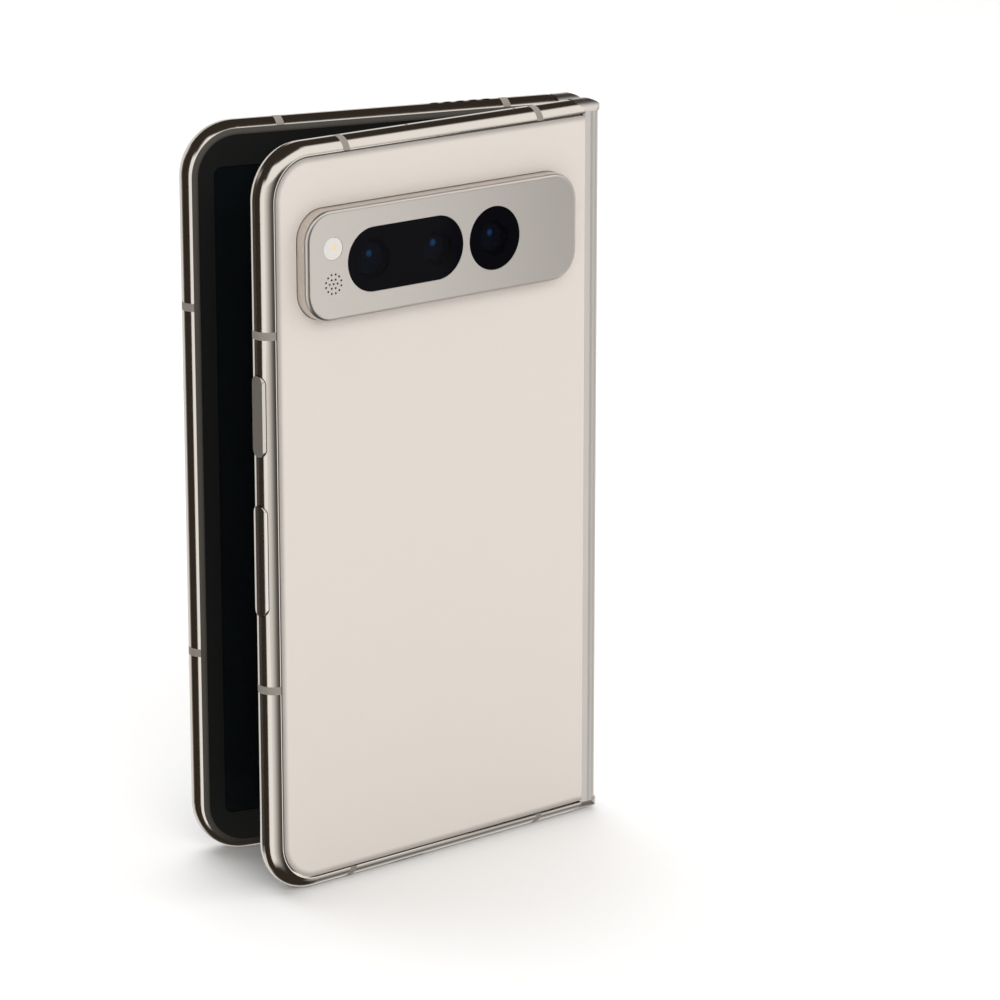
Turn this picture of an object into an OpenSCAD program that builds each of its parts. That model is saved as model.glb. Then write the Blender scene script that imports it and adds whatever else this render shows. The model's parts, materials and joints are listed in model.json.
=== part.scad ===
// Book-style folding phone: two halves, a rounded spine and a geared hinge at each end.
// It stands on its bottom rails, partly open. The back with the camera bar faces -Y,
// the open edges point to -X and the spine is at +X.

/* [Body] */
// Height of the phone
body_h = 139.7; // [130:0.1:160]
// Width of the closed phone, from the open edge to the outside of the spine
body_w = 79.5; // [74:0.1:90]
// Thickness of one half
half_t = 5.8; // [5.6:0.1:7]
// Gap between the two halves when closed
closed_gap = 0.5; // [0.4:0.05:0.9]
// Corner radius at the open edge
corner_r = 10; // [8:0.5:14]
// Angle between the halves as it stands
open_angle = 16; // [4:1:40]

/* [Rails] */
// Depth of the rounded rail face, from its crest to the back panel's level
rail_rise = 2.2; // [1.8:0.1:2.6]
// Depth of the flat ground on the crest
crest_flat = 0.03; // [0.02:0.01:0.08]
// Full depth of the rail, from the crest to the cavity
rail_w = 3.9; // [3.6:0.1:4.6]
// Width of the lip round the back panel
lip_w = 0.15; // [0.1:0.05:0.4]
// Groove between the lip and a panel
groove_w = 0.3; // [0.2:0.05:0.5]
// Width of an antenna band
band_w = 1.5; // [1:0.1:2.5]
// Heights of the antenna bands on the side rails
band_low = 40; // [25:0.5:60]
// Distance of the upper antenna bands on the side rails from the top
band_top = 33.8; // [32.5:0.1:36]
// Distance of the outer top and bottom bands from the open edge
band_out = 18.6; // [14:0.1:24]
// Distance of the inner top and bottom bands from the outside of the spine
band_spine = 15.8; // [14:0.1:18]

/* [Panels] */
// Thickness of the back glass and the cover glass
glass_t = 0.8; // [0.6:0.05:0.9]
// Thickness of the chassis plate
plate_t = 0.6; // [0.5:0.05:0.8]
// Thickness of the folding display
display_t = 0.4; // [0.3:0.05:0.5]
// Thickness of the steel sheet under the display
support_t = 0.2; // [0.15:0.05:0.25]
// Thickness of the raised display bezel
bezel_t = 0.25; // [0.2:0.05:0.3]
// Width of the bezel at the open edge, from the phone's outside
bezel_side = 5.4; // [4.8:0.1:7]
// Width of the bezel at the top and bottom, from the phone's outside
bezel_end = 8.05; // [7.9:0.05:10]
// Distance of the bezel's outer edge from the phone's outside
bezel_in = 2.4; // [2.3:0.05:2.8]
// How far the display sheet reaches under the bezel
display_lap = 1.0; // [0.5:0.1:2]

/* [Spine] */
// Radius of the spine's long corners
spine_r = 3.0; // [2.4:0.1:3.4]
// Wall of the spine cover
spine_wall = 0.8; // [0.6:0.05:1]
// Depth of the spine's sides below the outside of the spine
spine_side = 4.6; // [4.2:0.05:4.7]
// How far the spine's sides lie below the back panel's level
spine_drop = 0.2; // [0.15:0.05:0.4]
// How far the backs stand proud of the spine when the phone lies flat
flat_drop = 0.15; // [0.1:0.05:0.3]
// How far the spine's outside passes the fold line of the flat display
fold_inset = 0.15; // [0.1:0.05:0.3]
// Distance from the outside of the spine to the back panel's seam
seam_u = 4.9; // [4.8:0.05:5.2]
// Corner radius at the spine's ends, seen from the back
spine_end_r = 2.6; // [2:0.1:3.5]
// Depth of the spine's end caps
cap_t = 2.1; // [2:0.05:2.15]
// Radial gap between the spine and the halves' hollow edges
swing_gap = 0.1; // [0.08:0.01:0.15]
// Distance from the fold line to the rigid ends of the display panels
fold_half = 1.4; // [1.35:0.05:2]
// Distance from the fold line to the ends of the raised bezel
fold_bezel = 1.85; // [1.8:0.05:2.6]
// Depth of the groove in the spine's floor that takes the display's fold
fold_groove = 0.4; // [0.2:0.05:0.5]

/* [Hinge] */
// Teeth on each arm gear
arm_teeth = 10; // [10:2:12]
// Teeth on each idler gear
idler_teeth = 6; // [6:2:8]
// Width of the gears along the hinge line
gear_w = 1.6; // [1.2:0.1:1.8]
// Radius of the hinge pins
pin_r = 0.6; // [0.5:0.05:0.7]
// Radial running clearance on the pins and journals
run_gap = 0.05; // [0.03:0.01:0.08]
// Radius of the idler gears' journals
journal_r = 0.3; // [0.25:0.05:0.35]
// Radius of the boss round each pin
boss_r = 1.25; // [1.1:0.05:1.4]
// Thickness of the hinge arms
arm_t = 0.6; // [0.5:0.05:0.62]
// Length of the hinge arms, from the outside of the spine
arm_reach = 15; // [12:0.5:20]

/* [Buttons] */
// Length of the power button
power_l = 15; // [12:0.1:17]
// Distance of the power button's centre from the top
power_down = 48.6; // [45:0.1:51]
// Length of the volume rocker
volume_l = 20.6; // [16:0.1:24]
// Distance of the volume rocker's centre from the top
volume_down = 75.4; // [73:0.1:79]
// Width of the buttons
button_w = 2.95; // [2.4:0.05:3.2]
// Distance of the buttons' centre line from the middle of the half
button_off = 0.36; // [0:0.02:0.5]
// How far the power button stands proud of the rail
power_proud = 0.15; // [0.1:0.05:0.4]
// How far the volume rocker stands proud of the rail
volume_proud = 0.35; // [0.2:0.05:0.5]
// Gap round the buttons
button_gap = 0.12; // [0.1:0.01:0.2]
// Travel of the power button
power_travel = 0.3; // [0.2:0.05:0.4]

/* [Camera bar] */
// Height of the camera bar
bar_h = 20.2; // [18:0.1:22]
// How far the bar stands proud of the back
bar_proud = 2.85; // [2:0.05:3.4]
// Distance from the open edge to the bar
bar_off = 7.15; // [6:0.05:8]
// Distance from the outside of the spine to the bar
bar_spine = 9.25; // [8.5:0.05:14]
// Distance of the bar's centre line from the top
bar_down = 22.1; // [19:0.1:24]
// Corner radius of the bar
bar_r = 5.5; // [4:0.1:7]
// Rounding of the bar's outer edge
bar_edge = 0.8; // [0.4:0.1:1]
// Width of the long window
pill_w = 26.5; // [24:0.1:28]
// Height of the windows
window_h = 11.8; // [11:0.1:13]
// Distance from the open edge to the long window
pill_off = 16.4; // [15:0.1:17]
// Distance from the open edge to the round window's centre
round_off = 50.35; // [49.5:0.05:54]
// Distance from the open edge to the flash
flash_off = 13.15; // [12.9:0.05:13.3]
// Radius of the flash lens
flash_r = 2.05; // [1.8:0.05:2.1]
// Height of the flash above the bar's centre line
flash_up = 3.1; // [2.6:0.1:3.6]
// Distance of the microphone holes below the bar's centre line
mic_down = 3.3; // [2.6:0.1:3.8]
// Thickness of the windows
window_t = 0.7; // [0.5:0.05:0.9]

/* [Ports] */
// Width of the charging port's shell
port_w = 8.94; // [8.9:0.01:9]
// Height of the charging port's shell
port_h = 3.16; // [3.1:0.01:3.2]
// Depth of the charging port
port_d = 6.5; // [6:0.1:7.5]
// Distance from the open edge to the charging port's centre
port_off = 33; // [29:0.5:34]
// Width of one speaker slot
slot_w = 1.7; // [1.2:0.1:2]
// Height of one speaker slot
slot_h = 1.0; // [0.8:0.1:1.2]
// Spacing of the speaker slots
slot_pitch = 2.6; // [2.2:0.1:3]
// Number of speaker slots in a row
slot_n = 5; // [3:1:6]
// Distance from the open edge to the first speaker slot on the front half's top
top_slots_off = 49.9; // [46:0.1:50]
// Distance from the open edge to the first speaker slot on the rear half's bottom
low_slots_off = 47; // [45:0.1:50]
// Radius of the small microphone holes in the rails
mic_r = 0.3; // [0.25:0.05:0.45]
// Width of the card tray's door
tray_w = 12.4; // [11:0.1:14]
// Height of the card tray's door
tray_h = 2.1; // [1.8:0.1:2.3]
// Length of the card tray
tray_l = 19; // [17:0.5:22]
// Distance from the open edge to the card tray's centre
tray_off = 36; // [34:0.5:40]

/* [Inside] */
// Gap between the batteries and the rails
battery_gap = 1.5; // [1:0.1:4]
// Height of the batteries' lower edge
battery_z = 24; // [23:1:26]
// Distance of the batteries' upper edge from the top
battery_top = 53.7; // [53:0.1:60]
// Distance from the batteries to the back panel's seam
battery_seam = 11.2; // [11:0.1:16]
// Thickness of the circuit boards
board_t = 0.7; // [0.6:0.1:0.9]
// Outer radius of the charging coil
coil_r = 21; // [18:0.5:22]
// Inner radius of the charging coil
coil_in_r = 10; // [8:0.5:13]
// Thickness of the cover display
cover_display_t = 0.7; // [0.5:0.1:0.8]

/* [Hidden] */

$fn = 64;
eps = 0.01;

power_z = body_h - power_down;
volume_z = body_h - volume_down;
bar_z = body_h - bar_down;
bar_w = body_w - bar_off - bar_spine;
battery_w = body_w - rail_w - battery_gap - seam_u - battery_seam;
battery_h = body_h - battery_top - battery_z;

// Places that follow from the sizes above. A half is drawn about its own middle plane, y = 0.
open_x = -body_w / 2;
spine_x = body_w / 2;
out_y = -half_t / 2;
in_y = half_t / 2;
close_y = half_t / 2 + closed_gap / 2;
seam_x = spine_x - seam_u;
out_v = half_t + closed_gap / 2;
pivot_u = (out_v - flat_drop + fold_inset) / 2;
pivot_v = (out_v - flat_drop - fold_inset) / 2;
pivot_x = spine_x - pivot_u;
pivot_y = close_y - pivot_v;
spine_half = out_v - spine_drop;
spine_reach = sqrt(pow(spine_side - pivot_u, 2) + pow(spine_half - pivot_v, 2));
hollow_r = spine_reach + swing_gap;
cap_r = spine_reach - 0.05;
cap_u = pivot_u + in_y - pivot_y - 0.05;
valley_d = cap_t - 0.6;
groove_half = 0.75;
fold_t = 0.3;
hollow_wall = 0.6;

rail_full = rail_rise + crest_flat;
rail_r = (pow(half_t / 2, 2) + pow(rail_full, 2)) / (2 * rail_full);
lip_in = rail_rise + lip_w;
glass_in = lip_in + groove_w;
panel_gap = 0.05;

bezel_y = in_y - bezel_t;
display_y = bezel_y - display_t;
support_y = display_y - support_t;
plate_y = support_y - plate_t;
floor_y = out_y + glass_t;
fold_x = spine_x - fold_inset - fold_half;
bezel_x = spine_x - fold_inset - fold_bezel;
sheet_gap = 0.1;
sheet_r = 2;
bezel_r = 1.5;

gear_m = 2 * pivot_v / (arm_teeth + 2 * idler_teeth);
arm_pitch_r = gear_m * arm_teeth / 2;
idler_pitch_r = gear_m * idler_teeth / 2;
idler_v = pivot_v - arm_pitch_r - idler_pitch_r;
gap_z = 0.1;
bracket_t = 0.6;
bracket_floor = 0.5;
gear_e = cap_t + bracket_t + 2 * gap_z;
idler_plate_e = gear_e + gear_w + gap_z;
idler_plate_t = 0.5;
boss_end_e = bezel_end - bracket_t - 0.65;
bracket_end_e = bezel_end - 0.55;
notch_end_e = idler_plate_e + idler_plate_t + gap_z;
display_z = bracket_end_e + gap_z;
notch_u = 6.6;
leaf_low = bezel_y - arm_t;
// Neck of a hinge arm: its sides' distances from the hinge line, and where it meets the boss
neck_in = 1.2;
neck_out = 2.0;
neck_dip = 0.15;
neck_low = [0.92, 0.28];
neck_high = [0.48, 0.8];
screw_r = 0.5;
screw_pitch = 3.2;
screw_e = (gear_e + boss_end_e) / 2;
inner_cam_x = open_x + bezel_side + 8;
inner_cam_z = body_h - bezel_in - 2.8;
inner_cam_r = 1.2;

// Top microphone holes: distances from the round window's centre and from the outer band
mic_side = 9.4;
mic_band = 15.8;
band_x = open_x + band_out;

button_y = -button_off;
shoulder_d = 1.3;
flange_t = 0.5;
flange_w = 0.5;
flange_d = shoulder_d + 0.4;
button_in_d = flange_d + flange_t;
switch_d = button_in_d + power_travel + 0.05;

bar_x = open_x + bar_off;
bar_y = out_y - bar_proud;
bar_root = floor_y + 0.6;
pill_x = open_x + pill_off + pill_w / 2;
round_x = open_x + round_off;
window_ledge = 0.5;
window_drop = 0.05;
lens_gap = 0.1;
seat_gap = 0.04;
flash_seat = 1.2;
pill_lens = pill_w / 2 - window_h / 2;
flash_x = open_x + flash_off;
grid_pitch = 0.88;
grid_hole_r = 0.2;
main_base = 0.9 * window_h;
wide_base = 0.8 * window_h;
tele_base = 0.88 * window_h;
led_w = 1.8;

battery_x = open_x + rail_w + battery_gap;
shelf_y = plate_y - 0.1;
board_y = shelf_y - board_t;
board_low = battery_z + battery_h + 3;
board_in = rail_w + 0.3;
board_x = open_x + board_in;
board_w = seam_x - 4.4 - board_x;
shield_h = (bar_z - bar_h / 2 - board_low) * 0.65;
speaker_d = 11;
spout_l = 1.3;
motor = [14, 8];

// Cover side: the earpiece slot, the camera and the display's inset
ear_w = 9;
ear_z = body_h - glass_in - 1.1;
cover_cam_z = body_h - 8.2;
mid_x = (open_x + seam_x) / 2;
cover_in = rail_w + 0.2;

port_x = open_x + port_off;
port_e = 0.9;
tray_x = open_x + tray_off;
tray_rim = 1.4;
card_w = 8.8;
card_l = 12.3;

// Colours
metal = [0.80, 0.76, 0.70];
satin = [0.83, 0.79, 0.74];
porcelain = [0.87, 0.84, 0.80];
black = [0.03, 0.03, 0.035];
dark = [0.12, 0.12, 0.13];
band_grey = [0.55, 0.53, 0.50];
steel = [0.62, 0.63, 0.65];
board_green = [0.05, 0.2, 0.12];
copper = [0.72, 0.42, 0.25];

// Moves a rear-half drawing to the front half, mirrored and opened
module at_front() {
    turn(close_y - pivot_v)
        turn(close_y + pivot_v)
            translate([0, 2 * close_y, 0])
                mirror([0, 1, 0])
                    children();
}

// Moves a drawing made in the closed phone onto the spine as it stands
module at_spine() {
    turn(close_y - pivot_v) children();
}

// Half of the opening, about one hinge line
module turn(line_y) {
    translate([pivot_x, line_y, 0])
        rotate([0, 0, -open_angle / 2])
            translate([-pivot_x, -line_y, 0])
                children();
}

// Both ends of the phone: the bottom as drawn, and its mirror at the top
module both_ends() {
    children();
    translate([0, 0, body_h]) mirror([0, 0, 1]) children();
}

// An outline in x and z, given thickness from y0 to y1
module slab(y0, y1) {
    translate([0, y1, 0]) rotate([90, 0, 0]) linear_extrude(y1 - y0) children();
}

// Plate outline of a half: round corners at the open edge, straight at the spine
module half_outline(inset, x_end, low, high, r) {
    x0 = open_x + inset;
    translate([x0 + r, low]) square([x_end - x0 - r, high - low]);
    translate([x0, low + r]) square([r, high - low - 2 * r]);
    for (z = [low + r, high - r]) translate([x0 + r, z]) circle(r = r);
}

module half_plate(inset, x_end, y0, y1) {
    slab(y0, y1) half_outline(inset, x_end, inset, body_h - inset, corner_r - inset);
}

// A slot with round ends, long in the first direction
module stadium(l, w) {
    square([l - w, w], center = true);
    for (s = [-1, 1]) translate([s * (l - w) / 2, 0]) circle(d = w);
}

// Round-ended prism on the open edge, from depth d0 to depth d1 inside the rail
module edge_prism(l, w, z, d0, d1) {
    translate([open_x + d0, button_y, z])
        rotate([0, 90, 0])
            linear_extrude(d1 - d0)
                stadium(l, w);
}

// Round-ended prism up through the bottom rail
module end_prism(l, w, x, y, e0, e1) {
    translate([x, y, e0]) linear_extrude(e1 - e0) stadium(l, w);
}

// Cross-section of the rail: x is the depth from the crest
module rail_profile(depth) {
    intersection() {
        translate([0, out_y]) square([depth, half_t]);
        union() {
            translate([rail_r - crest_flat, 0]) circle(r = rail_r);
            translate([rail_rise, out_y]) square([depth - rail_rise, half_t]);
        }
    }
}

module rail_corner(depth) {
    translate([open_x + corner_r, 0, corner_r])
        rotate([90, 180, 0])
            rotate_extrude(angle = 90)
                translate([corner_r, 0]) mirror([1, 0]) rail_profile(depth);
}

module rails(depth) {
    translate([open_x, 0, corner_r]) linear_extrude(body_h - 2 * corner_r) rail_profile(depth);
    both_ends() {
        rail_corner(depth);
        translate([seam_x, 0, 0])
            rotate([0, -90, 0])
                linear_extrude(seam_x - open_x - corner_r)
                    rail_profile(depth);
    }
}

// The round hollow that each half keeps clear round its hinge line
module swing_hollow(r) {
    translate([pivot_x, pivot_y, -1]) cylinder(r = r, h = body_h + 2);
}

// Slabs that cut the antenna bands out of the rails
module band_slabs() {
    for (z = [band_low, body_h - band_top])
        translate([open_x - 1, out_y - 1, z - band_w / 2]) cube([1 + lip_in, half_t + 2, band_w]);
    both_ends()
        for (d = [band_out, body_w - band_spine])
            translate([open_x + d - band_w / 2, out_y - 1, -1]) cube([band_w, half_t + 2, 1 + lip_in]);
}

module antenna_bands() {
    intersection() {
        rails(rail_w);
        band_slabs();
    }
}

// Chassis of one half: rails, plate and the round wall beside the spine
module chassis() {
    difference() {
        union() {
            rails(rail_w);
            half_plate(rail_w - 1, seam_x - 0.4, plate_y, support_y);
            intersection() {
                swing_hollow(hollow_r + hollow_wall);
                translate([pivot_x - 2 * hollow_r, floor_y, rail_w / 2])
                    cube([2 * hollow_r - pivot_u + seam_u - 2, support_y - floor_y, body_h - rail_w]);
            }
        }
        swing_hollow(hollow_r);
        half_plate(lip_in, spine_x, out_y - 1, floor_y);
        half_plate(bezel_in - panel_gap, spine_x, support_y, in_y + 1);
        band_slabs();
        both_ends() arm_seat();
    }
}

// Room in the chassis for a hinge arm and its screws
module arm_seat() {
    translate([spine_x - arm_reach - gap_z, leaf_low, gear_e - gap_z])
        cube([arm_reach, half_t, boss_end_e - gear_e + 2 * gap_z]);
}

module rear_frame() {
    color(metal) difference() {
        chassis();
        button_cut(power_l, power_z);
        button_cut(volume_l, volume_z);
        end_prism(port_w + 0.1, port_h + 0.1, port_x, 0, -1, port_e + port_d + 0.1);
        for (i = [0 : slot_n - 1])
            end_prism(slot_w, slot_h, open_x + low_slots_off + i * slot_pitch, 0, -1, rail_w + 1);
        translate([port_x - port_w, 0, -1]) cylinder(r = mic_r, h = rail_w + 2);
        for (x = [round_x + mic_side, band_x + mic_band])
            translate([x, 0, body_h - rail_w - 1]) cylinder(r = mic_r, h = rail_w + 2);
    }
}

// Hole for a button, wider behind the shoulder that keeps it in
module button_cut(l, z) {
    edge_prism(l + 2 * button_gap, button_w + 2 * button_gap, z, -1, rail_w + 1);
    edge_prism(l + 2 * (flange_w + button_gap), button_w + flange_w + 2 * button_gap, z, shoulder_d, rail_w + 1);
}

module rear_antenna_bands() {
    color(band_grey) antenna_bands();
}

// Outline of the camera bar, grown by g
module bar_outline(g) {
    w = bar_w + 2 * g;
    h = bar_h + 2 * g;
    r = bar_r + g;
    translate([bar_x + bar_w / 2, bar_z]) {
        square([w - 2 * r, h], center = true);
        square([w, h - 2 * r], center = true);
        for (sx = [-1, 1], sz = [-1, 1])
            translate([sx * (w / 2 - r), sz * (h / 2 - r)]) circle(r = r);
    }
}

module back_glass() {
    color(porcelain) difference() {
        half_plate(glass_in, seam_x, out_y, out_y + glass_t);
        swing_hollow(hollow_r);
        slab(out_y - 1, in_y) bar_outline(0.1);
    }
}

// Edge of the camera bar: a wall with a rounded outer edge, x is the depth from the outside
module bar_edge_profile() {
    translate([0, out_y - bar_proud + bar_edge]) square([bar_r, bar_proud - bar_edge + bar_root - out_y]);
    translate([bar_edge, bar_y]) square([bar_r - bar_edge, bar_edge]);
    intersection() {
        translate([bar_edge, bar_y + bar_edge]) circle(r = bar_edge);
        translate([0, bar_y]) square([bar_edge, bar_edge]);
    }
}

module bar_shell() {
    cx = bar_x + bar_w / 2;
    slab(bar_y, bar_root)
        translate([cx, bar_z]) square([bar_w - 2 * bar_r, bar_h - 2 * bar_r], center = true);
    for (s = [0, 1]) translate([cx, 0, bar_z]) rotate([0, 180 * s, 0]) {
        translate([-bar_w / 2, 0, -bar_h / 2 + bar_r])
            linear_extrude(bar_h - 2 * bar_r) bar_edge_profile();
        translate([bar_w / 2 - bar_r, 0, -bar_h / 2])
            rotate([0, -90, 0]) linear_extrude(bar_w - 2 * bar_r) bar_edge_profile();
        for (m = [0, 1]) mirror([m, 0, 0])
            translate([-bar_w / 2 + bar_r, 0, -bar_h / 2 + bar_r])
                rotate([90, 180, 0])
                    rotate_extrude(angle = 90)
                        mirror([0, 1]) translate([bar_r, 0]) mirror([1, 0]) bar_edge_profile();
    }
}

module pill_outline(g) {
    translate([pill_x, bar_z]) stadium(pill_w + 2 * g, window_h + 2 * g);
}

module round_outline(g) {
    translate([round_x, bar_z]) circle(d = window_h + 2 * g);
}

module flash_outline(g) {
    translate([flash_x, bar_z + flash_up]) circle(r = flash_r + g);
}

// Microphone grid: one hole, then rings of six and twelve
module mic_grid(r) {
    translate([flash_x, bar_z - mic_down]) {
        circle(r = r);
        for (ring = [1, 2], i = [0 : 6 * ring - 1])
            rotate([0, 0, i * 60 / ring + 15 * (ring - 1)]) translate([grid_pitch * ring, 0]) circle(r = r);
    }
}

module camera_bar() {
    color(satin) difference() {
        union() {
            bar_shell();
            slab(floor_y, bar_root) bar_outline(1);
        }
        slab(bar_y - 1, bar_y + window_drop + window_t) {
            pill_outline(seat_gap);
            round_outline(seat_gap);
        }
        slab(bar_y, bar_root + 1) {
            pill_outline(-window_ledge);
            round_outline(-window_ledge);
        }
        slab(bar_y - 1, bar_y + flash_seat) flash_outline(seat_gap);
        slab(bar_y, bar_root + 1) flash_outline(-window_ledge);
        slab(bar_y - 1, bar_root + 1) mic_grid(grid_hole_r);
    }
}

module pill_window() {
    color(black) slab(bar_y + window_drop, bar_y + window_drop + window_t) pill_outline(0);
}

module round_window() {
    color(black) slab(bar_y + window_drop, bar_y + window_drop + window_t) round_outline(0);
}

// Camera: square base, stepped barrel and a domed front lens
module camera_module(x, base, barrel_r, lens_r) {
    top = bar_y + window_drop + window_t + lens_gap;
    base_y = bar_root;
    translate([x, 0, bar_z]) {
        translate([-base / 2, base_y, -base / 2]) cube([base, plate_y - base_y, base]);
        difference() {
            rotate([-90, 0, 0]) translate([0, 0, top]) cylinder(r = barrel_r, h = base_y - top);
            rotate([-90, 0, 0]) translate([0, 0, top - 1]) cylinder(r = lens_r + 0.4, h = 1.5);
        }
        intersection() {
            translate([0, top + 0.2 + 2 * lens_r, 0]) sphere(r = 2 * lens_r);
            rotate([-90, 0, 0]) translate([0, 0, top]) cylinder(r = lens_r, h = 0.6);
        }
    }
}

module main_camera() {
    color(dark) camera_module(pill_x - pill_lens, main_base, 0.41 * window_h, 0.25 * window_h);
}

module wide_camera() {
    color(dark) camera_module(pill_x + pill_lens, wide_base, 0.38 * window_h, 0.19 * window_h);
}

module tele_camera() {
    color(dark) camera_module(round_x, tele_base, 0.41 * window_h, 0.21 * window_h);
}

module flash_lens() {
    color([0.95, 0.95, 0.93])
        slab(bar_y + window_drop, bar_y + flash_seat - panel_gap) flash_outline(0);
}

module flash_led() {
    color([0.95, 0.8, 0.35])
        translate([flash_x - led_w / 2, bar_y + flash_seat + panel_gap, bar_z + flash_up - led_w / 2])
            cube([led_w, plate_y - bar_y - flash_seat - panel_gap, led_w]);
}

// Button: a cap in the rail's slot and a flange behind the shoulder
module button_body(l, z, proud) {
    edge_prism(l, button_w, z, -proud, flange_d);
    edge_prism(l + 2 * flange_w, button_w + flange_w, z, flange_d, button_in_d);
}

module power_button() {
    color(metal) button_body(power_l, power_z, power_proud);
}

// The rocker turns on the round rib behind its middle
module volume_rocker() {
    color(metal) union() {
        intersection() {
            button_body(volume_l, volume_z, volume_proud);
            translate([open_x + rail_r - crest_flat, 0, 0]) cylinder(r = rail_r + volume_proud, h = body_h);
        }
        translate([open_x + button_in_d, button_y + button_w / 2 - 0.3, volume_z])
            rotate([90, 0, 0]) cylinder(r = 0.35, h = button_w - 0.6);
    }
}

// Dome switch block behind a button
module switch_block(z, w) {
    translate([open_x + switch_d, button_y - 1.3, z - w / 2]) cube([rail_w - switch_d - 0.1, 2.6, w]);
}

module power_switch() {
    color(dark) switch_block(power_z, 4);
}

module volume_switches() {
    color(dark) for (s = [-1, 1]) switch_block(volume_z + s * volume_l / 3, 3.2);
}

// Battery pouch with a folded seam along its upper edge
module battery(x) {
    y0 = floor_y + 0.55;
    y1 = plate_y - 0.05;
    color([0.16, 0.16, 0.17]) translate([x - battery_w / 2, y0, battery_z]) {
        cube([battery_w, y1 - y0, battery_h]);
        translate([2, 0.8, battery_h]) cube([battery_w - 4, y1 - y0 - 1.6, 2]);
    }
}

module rear_battery() {
    battery(battery_x + battery_w / 2);
}

// Upper circuit board, with windows for the cameras
module main_board() {
    color(board_green) difference() {
        slab(board_y, shelf_y)
            intersection() {
                translate([board_x, board_low]) square([board_w, body_h]);
                half_outline(board_in, seam_x, board_in, body_h - board_in, corner_r - board_in);
            }
        slab(out_y, in_y) {
            for (c = [[pill_x - pill_lens, main_base], [pill_x + pill_lens, wide_base], [round_x, tele_base]])
                translate([c[0], bar_z]) square(c[1] + 0.4, center = true);
            translate([flash_x, bar_z + flash_up]) square(led_w + 0.4, center = true);
        }
    }
}

module board_shields() {
    top = bar_root + 0.3;
    color(steel) {
        for (side = [0, 1]) translate([board_x + board_w * (0.05 + 0.45 * side), top, board_low + 1.5])
            cube([0.4 * board_w, board_y - top, shield_h]);
        translate([board_x + 0.15 * board_w, top, bar_z + main_base / 2 + 1.5])
            cube([board_w / 2, board_y - top, bar_h / 3]);
    }
}

// Charging port: a round-ended steel shell with a tongue inside
module charging_port() {
    e0 = port_e;
    wall = 0.3;
    color(steel) {
        difference() {
            end_prism(port_w, port_h, port_x, 0, e0, e0 + port_d);
            end_prism(port_w - 2 * wall, port_h - 2 * wall, port_x, 0, e0 - 1, e0 + port_d - wall);
        }
        translate([port_x - 3.1, -0.35, e0 + 1]) cube([6.2, 0.7, port_d - 1 - wall / 2]);
        for (s = [-1, 1]) translate([port_x + s * (port_w / 2 - 0.2) - 0.7, plate_y - 0.5, e0 + port_d - 2])
            cube([1.4, 0.5, 2]);
    }
}

// Loudspeaker box, with a spout that meets the slots
module speaker_box(x0, y0, depth) {
    translate([x0 - slot_pitch, y0, rail_w + spout_l])
        cube([slot_n * slot_pitch + 2, shelf_y - y0, depth]);
    translate([x0 - slot_w / 2, -slot_h / 2, rail_w + panel_gap])
        cube([(slot_n - 1) * slot_pitch + slot_w, slot_h, spout_l]);
}

module bottom_speaker() {
    color(dark) speaker_box(open_x + low_slots_off, floor_y + 0.2, speaker_d);
}

module vibration_motor() {
    color(steel) translate([open_x + rail_w + 4, floor_y + 0.3, rail_w + 1.8])
        cube([motor[0], shelf_y - floor_y - 0.3, motor[1]]);
}

module charging_coil() {
    z = battery_z + battery_h / 2;
    x = battery_x + battery_w / 2;
    color(copper) slab(floor_y + 0.05, floor_y + 0.5) difference() {
        translate([x, z]) circle(r = coil_r);
        translate([x, z]) circle(r = coil_in_r);
    }
}

// Folding display, its steel sheet and the raised bezel
module display_sheet(y0, y1) {
    slab(y0, y1) half_outline(bezel_side - display_lap, fold_x, display_z, body_h - display_z, sheet_r);
}

module rear_display() {
    color(black) display_sheet(display_y, bezel_y);
}

module rear_support_sheet() {
    color(steel) display_sheet(support_y, display_y);
}

module bezel() {
    difference() {
        half_plate(bezel_in, bezel_x, bezel_y, in_y);
        slab(bezel_y - 1, in_y + 1)
            half_outline(bezel_side, spine_x, bezel_end, body_h - bezel_end, bezel_r);
        both_ends() translate([spine_x - notch_u, bezel_y - 1, 0]) cube([notch_u, half_t, notch_end_e]);
    }
    // Skirt of the bezel, standing on the chassis plate outside the display
    difference() {
        half_plate(bezel_in, spine_x - arm_reach - 1, support_y, bezel_y);
        slab(support_y - 1, in_y)
            half_outline(bezel_side - display_lap - sheet_gap, spine_x, display_z - sheet_gap,
                         body_h - display_z + sheet_gap, sheet_r);
        both_ends() arm_seat();
    }
}

module rear_bezel() {
    color(black) difference() {
        bezel();
        translate([inner_cam_x, 0, inner_cam_z])
            rotate([-90, 0, 0]) cylinder(r = inner_cam_r + panel_gap, h = half_t);
    }
}

// Camera in the bezel of the inner display
module inner_camera() {
    color(dark) translate([inner_cam_x, 0, inner_cam_z]) rotate([-90, 0, 0])
        translate([0, 0, support_y]) cylinder(r = inner_cam_r, h = bezel_y - support_y);
}

// Gear outline: teeth that narrow from root to tip, with room for backlash
module gear_outline(teeth, r, phase) {
    root = r - 1.25 * gear_m;
    tip = r + 0.9 * gear_m;
    step = 360 / teeth;
    circle(r = root + 0.02);
    for (i = [0 : teeth - 1]) rotate([0, 0, phase + i * step])
        polygon([
            for (p = [[root - 0.1, 0.30], [root, 0.30], [r, 0.205], [tip, 0.095]]) polar(p[0], -p[1] * step),
            for (p = [[tip, 0.095], [r, 0.205], [root, 0.30], [root - 0.1, 0.30]]) polar(p[0], p[1] * step)
        ]);
}

function polar(r, a) = [r * cos(a), r * sin(a)];

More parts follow.
